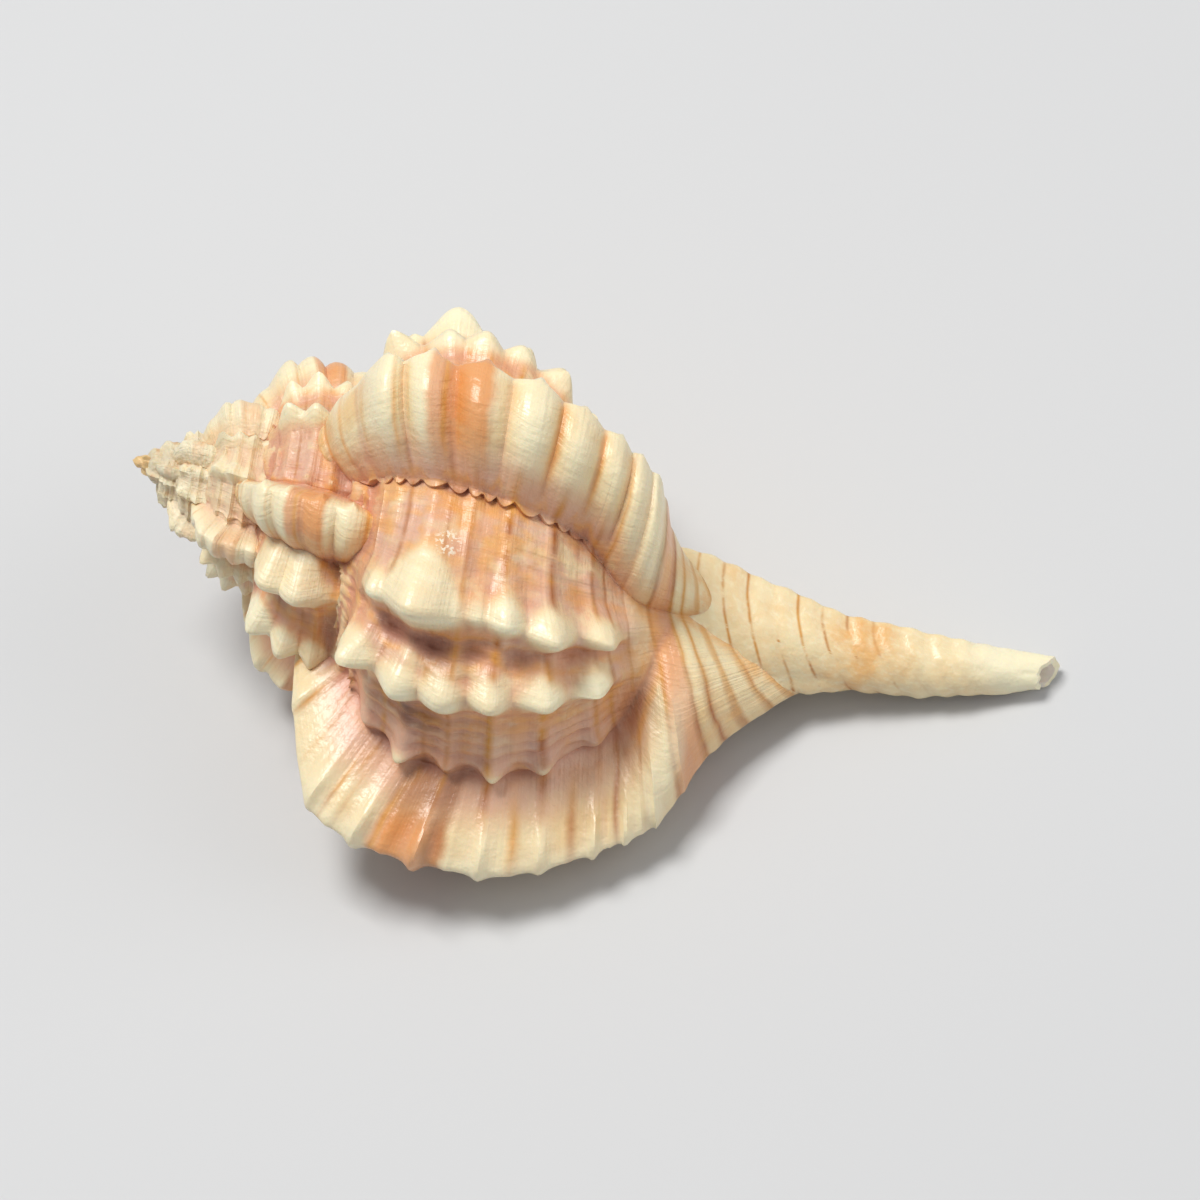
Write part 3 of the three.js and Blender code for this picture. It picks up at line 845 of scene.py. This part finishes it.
    def paint_lines(self):
        """Fine spiral lines: gold on the varices, brown and broken on the body, and on the neck."""
        gold = self.product(self.rise, self.lines(self.bent_share, VARIX_LINES),
                            self.step(self.growth_streak, 0.08, 0.32), 0.95)
        tone = self.mix(self.step(self.mottle, 0.42, 0.62), AMBER, GOLD)
        tone = self.mix(self.product(self.on_lip, self.step(self.blotch, 0.46, 0.60), 0.7), tone, BROWN)
        self.over(self.product(gold, self.less(0.8, self.tip)), tone)
        self.over(self.product(self.body, self.lines(self.bent_share, BODY_LINES), self.less(0.8, self.proud),
                               self.step(self.growth_streak, 0.30, 0.50), self.less(0.7, self.spire), 0.95),
                  self.gold_or_brown)
        neck = self.product(self.wall, self.lines(self.bent_share, NECK_LINES),
                            self.step(self.growth_streak, 0.22, 0.4), self.inverse(self.spire))
        self.over(self.product(neck, 0.95), self.gold_or_brown)

    def paint_canal(self):
        """Broken lines along the rings, a stain, and the bleached end."""
        ring = self.math("FRACT", self.math("ADD", self.share, self.product(self.wobble, 9.0)))
        self.over(self.product(self.canal, self.window(ring, 0.45, 0.55, 0.07),
                               self.inverse(self.step(self.share, *RINGS_LINED)),
                               self.step(self.mottle, 0.36, 0.52),
                               self.step(self.streaks(0.09, 5.0, 1.0, 1.0), 0.36, 0.56)), self.gold_or_brown)
        self.over(self.product(self.canal, self.step(self.mottle, 0.40, 0.60),
                               self.step(self.blotch, 0.54, 0.68), 0.5), AMBER)
        self.over(self.product(self.canal, self.step(self.share, *RINGS_BLEACHED), 0.85), IVORY)

    def paint_recesses(self):
        """Painted shade in the recesses and grooves: maroon, partly the shell's own, and brown in the deep
        ones, amber round them, and rose between the lamellae and in the grooves.
        """
        # amber round the edge of the deep hollows: the paler rim of the painted shade
        shade_rim = self.product(self.wall, self.window(self.far, 0.56, 0.68, 0.06), self.fresh,
                            self.step(self.mottle, 0.35, 0.6), self.less(0.7, self.on_lip))
        self.over(self.product(shade_rim, 0.6), AMBER)
        # maroon in the deep hollows of the upper whorl: partly the shell's own maroon, partly painted shade
        maroon_and_shade = self.product(self.wall, self.deep, self.inverse(self.step(self.cord, 3.8, 6.4)),
                              self.fresh, self.step(self.mottle, 0.20, 0.5))
        self.over(self.product(maroon_and_shade, 0.9), MAROON)
        # brown in the deep hollows lower down the whorl: painted shade
        brown_deep_shade = self.product(self.wall, self.deep, self.window(self.cord, *DEEP_SHADE_CORDS, 0.8),
                               self.step(self.mottle, 0.35, 0.6))
        self.over(self.product(brown_deep_shade, 0.7), BROWN)
        # rose between the lamellae of the ramp under the suture: painted shade
        ramp = self.product(self.body, self.inverse(self.step(self.cord, *RAMP_CORDS)),
                            self.less(0.8, self.tip))
        self.over(self.product(ramp, self.step(self.near, 0.42, 0.62), self.fresh, 0.7), ROSE)
        # rose in the fine grooves of the wall: painted shade
        self.over(self.product(self.groove, self.wall, 0.45, self.less(0.5, self.rise)), ROSE)

    def paint_wear(self):
        """Ivory nodes and crests, a crust, the chalky spire, the horny apex and the smooth inside."""
        white = self.mix(self.product(self.step(self.growth_streak, 0.36, 0.62), 0.75), IVORY,
                         self.mix(self.mottle, CREAM, WARM))
        self.over(self.product(self.step(self.prominence, 0.48, 0.95), self.wall, 0.88), white)
        self.over(self.product(self.proud, self.wall, self.math("MAXIMUM", self.rise, 0.6), 0.6,
                               self.less(0.8, self.band)), IVORY)
        # the crust was left by another animal, on the newest whorl
        off_cord, off_turns = (self.math("DIVIDE", self.math("SUBTRACT", value, middle), reach)
                               for value, middle, reach
                               in zip((self.cord, self.turns), CRUST_PLACE, CRUST_SIZE))
        away = self.math("ADD", self.product(off_cord, off_cord), self.product(off_turns, off_turns))
        crust = self.product(self.inverse(self.step(away, 0.3, 1.4)),
                             self.step(self.noise(self.where, CRUST_GRAINS, 2.0), 0.52, 0.60))
        self.over(self.product(crust, self.body, 0.85), CRUST)
        self.over(self.product(self.spire, self.wall, 0.55, self.step(self.mottle, 0.25, 0.55),
                               self.less(0.7, self.deep), self.less(0.7, self.band)), CHALK)
        self.over(self.product(self.tip, 0.5, self.step(self.mottle, 0.3, 0.6)), CHALK)
        self.over(self.product(self.wall, self.apex), HORN)
        self.over(self.inside, PORCELAIN)

    def finish_surface(self):
        """Gloss, duller in the hollows and on the spire, and relief too small for the mesh."""
        self.put(self.shader.inputs["Base Color"], self.colour)
        dull = self.math("ADD", self.product(self.hollow, 0.22), self.product(self.spire, 0.12))
        rough = self.math("ADD", self.math("ADD", 0.27, dull), self.product(self.mottle, 0.16))
        self.put(self.shader.inputs["Roughness"], rough)
        height = self.math("ADD", self.product(self.streaks(0.8, 230.0, 9.0, 3.0), self.wall, 0.8),
                           self.product(self.streaks(9.0, 9.0, 2.0, 3.0), self.wall, 0.7))
        grain = self.product(self.math("ADD", self.speck, self.product(self.mottle, 1.5)),
                             self.math("ADD", 0.55, self.product(self.tip, 1.6)))
        height = self.math("ADD", height, grain)
        bumps = self.add("Bump", {"Height": height, "Strength": 0.75, "Distance": 0.00022})
        self.put(self.shader.inputs["Normal"], bumps.outputs["Normal"])
        for name, value in SHELL_SURFACE.items():
            self.shader.inputs[name].default_value = value


def shell_material():
    material = bpy.data.materials.new("shell_wall")
    paint = ShellPaint(material)
    paint.paint_ground()
    paint.paint_body()
    paint.paint_bands()
    paint.paint_lines()
    paint.paint_canal()
    paint.paint_recesses()
    paint.paint_wear()
    paint.finish_surface()
    return material


shell.data.materials.clear()
shell.data.materials.append(shell_material())


# ---- floor, camera and lights --------------------------------------------------------------------
def from_shell(point):
    """A point of the shell's own frame, in millimetres, as a place in the scene."""
    return Vector((to_rest(np.array(point)) - origin_shift) * MM)


def direction(vector):
    return Vector(to_rest(np.array(vector, float))).normalized()


AXIS_SLOPE = math.radians(15.5)        # how far the coiling axis falls to the right in the view
VIEW_CENTRE = (43.94, 13.25)           # middle of the view: millimetres right of and below the apex
VIEW_WIDTH = 0.1132
LENS = 150
SENSOR = 36

cosine, sine = math.cos(AXIS_SLOPE), math.sin(AXIS_SLOPE)
right, up, back = direction((cosine, sine, 0)), direction((-sine, cosine, 0)), direction((0, 0, 1))
centre = from_shell((VIEW_CENTRE[0] * cosine + VIEW_CENTRE[1] * sine,
                     VIEW_CENTRE[0] * sine - VIEW_CENTRE[1] * cosine, 0))

camera_data = bpy.data.cameras.new("camera")
camera_data.lens = LENS
camera_data.sensor_width = SENSOR
camera_data.clip_start = 0.01
camera = bpy.data.objects.new("camera", camera_data)
bpy.context.scene.collection.objects.link(camera)
distance = VIEW_WIDTH * LENS / SENSOR
turn = Matrix((right, up, back)).transposed().to_4x4()
camera.matrix_world = Matrix.Translation(centre + back * distance) @ turn
bpy.context.scene.camera = camera

FLOOR_HALF = 1.5
corners = [(x * FLOOR_HALF, y * FLOOR_HALF, 0) for x, y in ((-1, -1), (1, -1), (1, 1), (-1, 1))]
floor_mesh = bpy.data.meshes.new("floor")
floor_mesh.from_pydata(corners, [], [(0, 1, 2, 3)])
floor = bpy.data.objects.new("floor", floor_mesh)
bpy.context.scene.collection.objects.link(floor)
floor_material = bpy.data.materials.new("pale_floor")
floor_material.use_nodes = True
surface = floor_material.node_tree.nodes["Principled BSDF"]
surface.inputs["Base Color"].default_value = (0.62, 0.63, 0.64, 1)
surface.inputs["Roughness"].default_value = 0.7
floor.data.materials.append(floor_material)


def add_light(name, offset, energy, size, colour):
    """A soft square lamp, placed from the middle of the shell by (right, up, back) in metres."""
    data = bpy.data.lights.new(name, "AREA")
    data.energy = energy
    data.size = size
    data.color = colour
    lamp = bpy.data.objects.new(name, data)
    bpy.context.scene.collection.objects.link(lamp)
    lamp.location = centre + right * offset[0] + up * offset[1] + back * offset[2]
    lamp.rotation_euler = (centre - lamp.location).to_track_quat("-Z", "Y").to_euler()


add_light("key", (-0.25, 0.45, 0.50), 4.3, 0.24, (1.0, 0.98, 0.95))
add_light("fill", (0.50, 0.20, 0.35), 1.0, 0.5, (1.0, 0.97, 0.93))
world = bpy.data.worlds.new("world")
bpy.context.scene.world = world
world.use_nodes = True
sky = world.node_tree.nodes["Background"]
sky.inputs["Color"].default_value = (0.93, 0.95, 1.0, 1)
sky.inputs["Strength"].default_value = 0.33
bpy.context.scene.view_settings.view_transform = "Standard"
